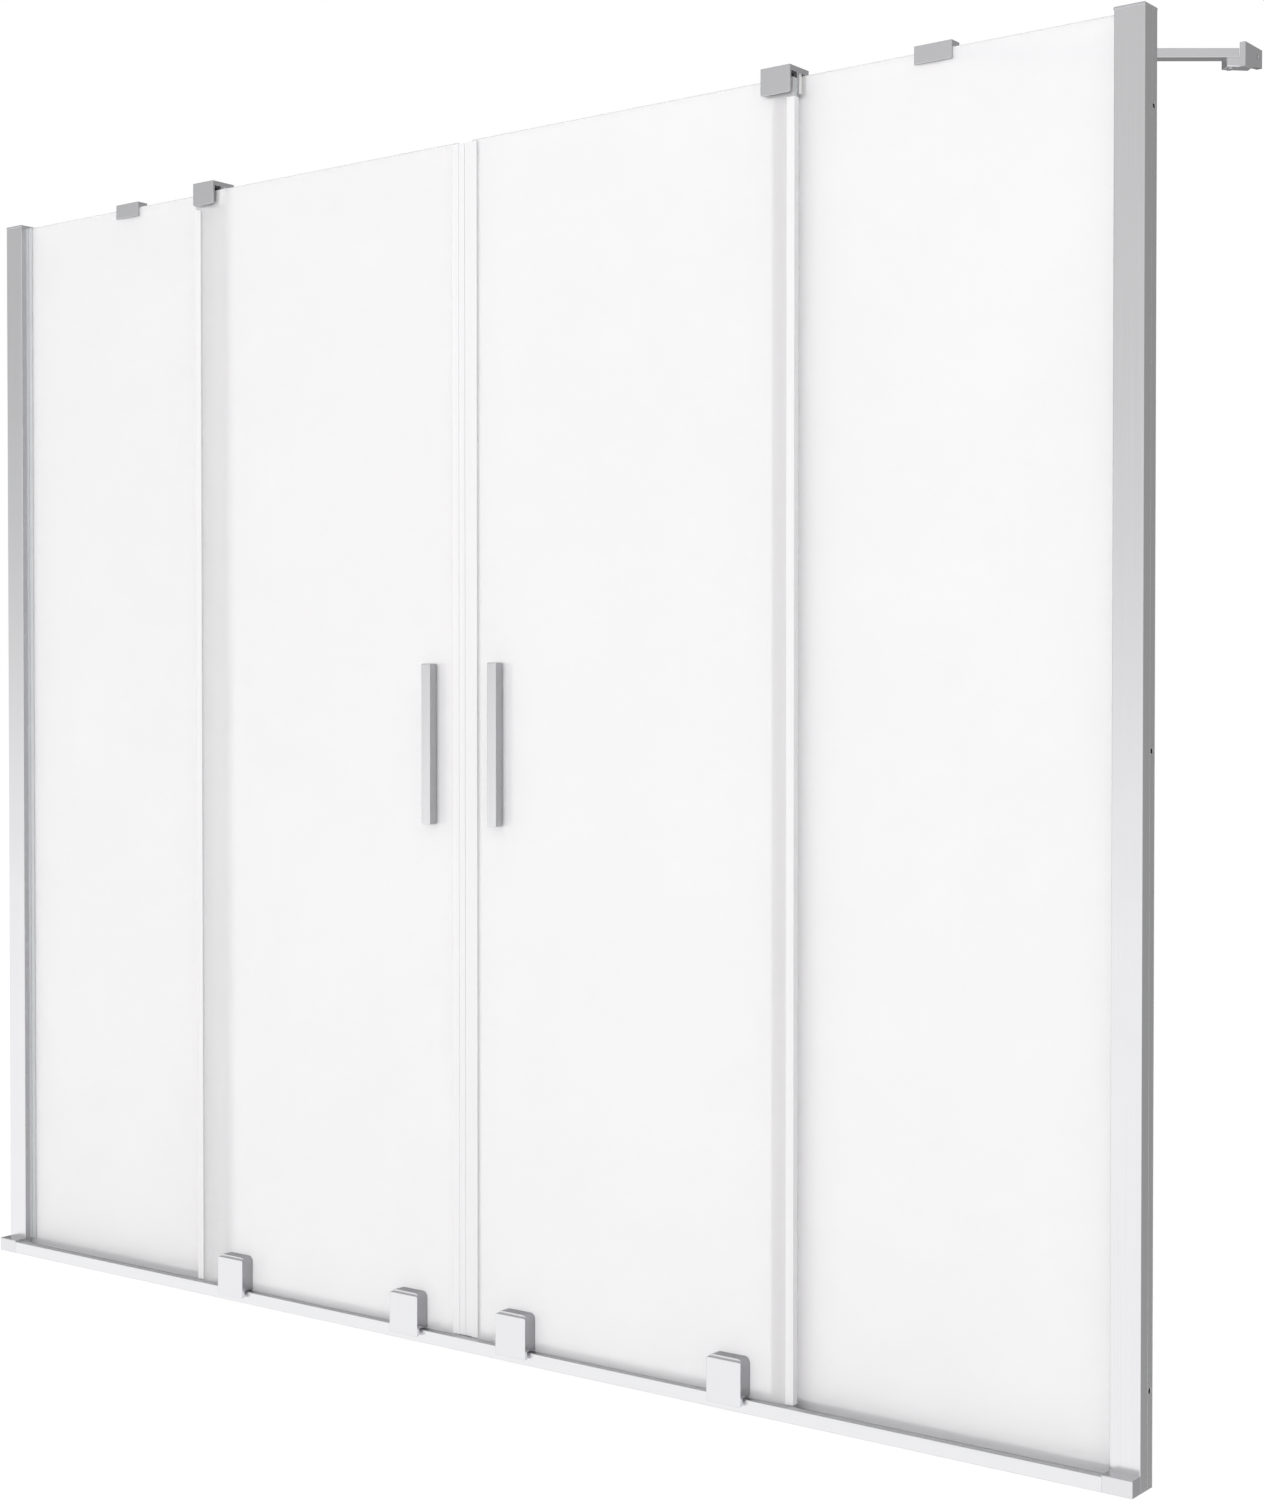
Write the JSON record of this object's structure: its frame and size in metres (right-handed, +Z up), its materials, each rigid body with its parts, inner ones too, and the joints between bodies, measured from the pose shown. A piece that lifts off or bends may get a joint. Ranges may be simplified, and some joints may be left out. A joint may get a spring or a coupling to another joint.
{
  "type": "sliding bath screen",
  "caption": "Wide sliding bath screen: satin glass panels between wall profiles, doors that roll on a slim bottom rail, bar handles, top guides and wall stays.",
  "frame": {"origin": "middle of the rail's underside, which stands on the bath rim", "axes": "+X along the screen to the right seen from the room, +Y into the bath, +Z up"},
  "size_m": [1.8, 0.3219, 1.5167],
  "materials": {
    "anodised_aluminium": "bright anodised, finely drawn along its length",
    "fitting_metal": "satin plated",
    "handle_metal": "satin plated, brushed along the bar",
    "steel": "stainless, turned",
    "satin_glass": "toughened, satin etched",
    "clear_seal": "translucent soft PVC",
    "rubber": "soft grey rubber",
    "nylon": "natural nylon",
    "cap_plastic": "moulded, silver grey",
    "magnet": "flexible magnet"
  },
  "bodies": {
    "frame": {"bottom_rail": "anodised_aluminium", "door_buffers": "rubber", "edge_strips": "clear_seal", "grub_screws": "steel", "guide_liners": "nylon", "guide_spacers": "nylon", "left_fixed_glass": "satin_glass", "left_glazing_profile": "anodised_aluminium", "left_rail_end_cap": "cap_plastic", "left_stay_bar": "fitting_metal", "left_stay_clip": "fitting_metal", "left_top_guide": "fitting_metal", "left_wall_bracket": "fitting_metal", "left_wall_channel": "anodised_aluminium", "left_wall_gasket": "rubber", "profile_caps": "cap_plastic", "profile_screws": "steel", "rail_gaskets": "rubber", "right_fixed_glass": "satin_glass", "right_glazing_profile": "anodised_aluminium", "right_rail_end_cap": "cap_plastic", "right_stay_bar": "fitting_metal", "right_stay_clip": "fitting_metal", "right_top_guide": "fitting_metal", "right_wall_bracket": "fitting_metal", "right_wall_channel": "anodised_aluminium", "right_wall_gasket": "rubber", "stay_screws": "steel"},
    "left_door": {"left_clamp_bolts": "steel", "left_door_glass": "satin_glass", "left_handle_inner": "handle_metal", "left_handle_outer": "handle_metal", "left_handle_studs": "steel", "left_handle_washers": "nylon", "left_magnet_bar": "magnet", "left_meeting_strip": "clear_seal", "left_outer_strip": "clear_seal", "left_roller_axles": "steel", "left_roller_carrier_inner": "nylon", "left_roller_carrier_outer": "nylon", "left_roller_cover_inner": "fitting_metal", "left_roller_cover_outer": "fitting_metal"},
    "right_door": {"right_clamp_bolts": "steel", "right_door_glass": "satin_glass", "right_handle_inner": "handle_metal", "right_handle_outer": "handle_metal", "right_handle_studs": "steel", "right_handle_washers": "nylon", "right_magnet_bar": "magnet", "right_meeting_strip": "clear_seal", "right_outer_strip": "clear_seal", "right_roller_axles": "steel", "right_roller_carrier_inner": "nylon", "right_roller_carrier_outer": "nylon", "right_roller_cover_inner": "fitting_metal", "right_roller_cover_outer": "fitting_metal"},
    "left_outer_wheel": {"left_roller_wheel_outer": "nylon"},
    "left_inner_wheel": {"left_roller_wheel_inner": "nylon"},
    "right_outer_wheel": {"right_roller_wheel_outer": "nylon"},
    "right_inner_wheel": {"right_roller_wheel_inner": "nylon"}
  },
  "joints": [
    {"name": "left_door_slide", "type": "slide", "parent": "frame", "child": "left_door", "axis": [-1, 0, 0], "range_m": [0, 0.375]},
    {"name": "left_outer_wheel_spin", "type": "hinge", "parent": "left_door", "child": "left_outer_wheel", "pos_m": [-0.4035, -0.018, 0.02545], "axis": [0, -1, 0], "range_deg": [0, 1960]},
    {"name": "left_inner_wheel_spin", "type": "hinge", "parent": "left_door", "child": "left_inner_wheel", "pos_m": [-0.088, -0.018, 0.02545], "axis": [0, -1, 0], "range_deg": [0, 1960]},
    {"name": "right_door_slide", "type": "slide", "parent": "frame", "child": "right_door", "axis": [1, 0, 0], "range_m": [0, 0.375]},
    {"name": "right_outer_wheel_spin", "type": "hinge", "parent": "right_door", "child": "right_outer_wheel", "pos_m": [0.4035, -0.018, 0.02545], "axis": [0, 1, 0], "range_deg": [0, 1960]},
    {"name": "right_inner_wheel_spin", "type": "hinge", "parent": "right_door", "child": "right_inner_wheel", "pos_m": [0.088, -0.018, 0.02545], "axis": [0, 1, 0], "range_deg": [0, 1960]}
  ],
  "couplings": [
    {"joint": "left_outer_wheel_spin", "follows": "left_door_slide", "rad_per_m": 90.909},
    {"joint": "left_inner_wheel_spin", "follows": "left_door_slide", "rad_per_m": 90.909},
    {"joint": "right_outer_wheel_spin", "follows": "right_door_slide", "rad_per_m": 90.909},
    {"joint": "right_inner_wheel_spin", "follows": "right_door_slide", "rad_per_m": 90.909}
  ]
}
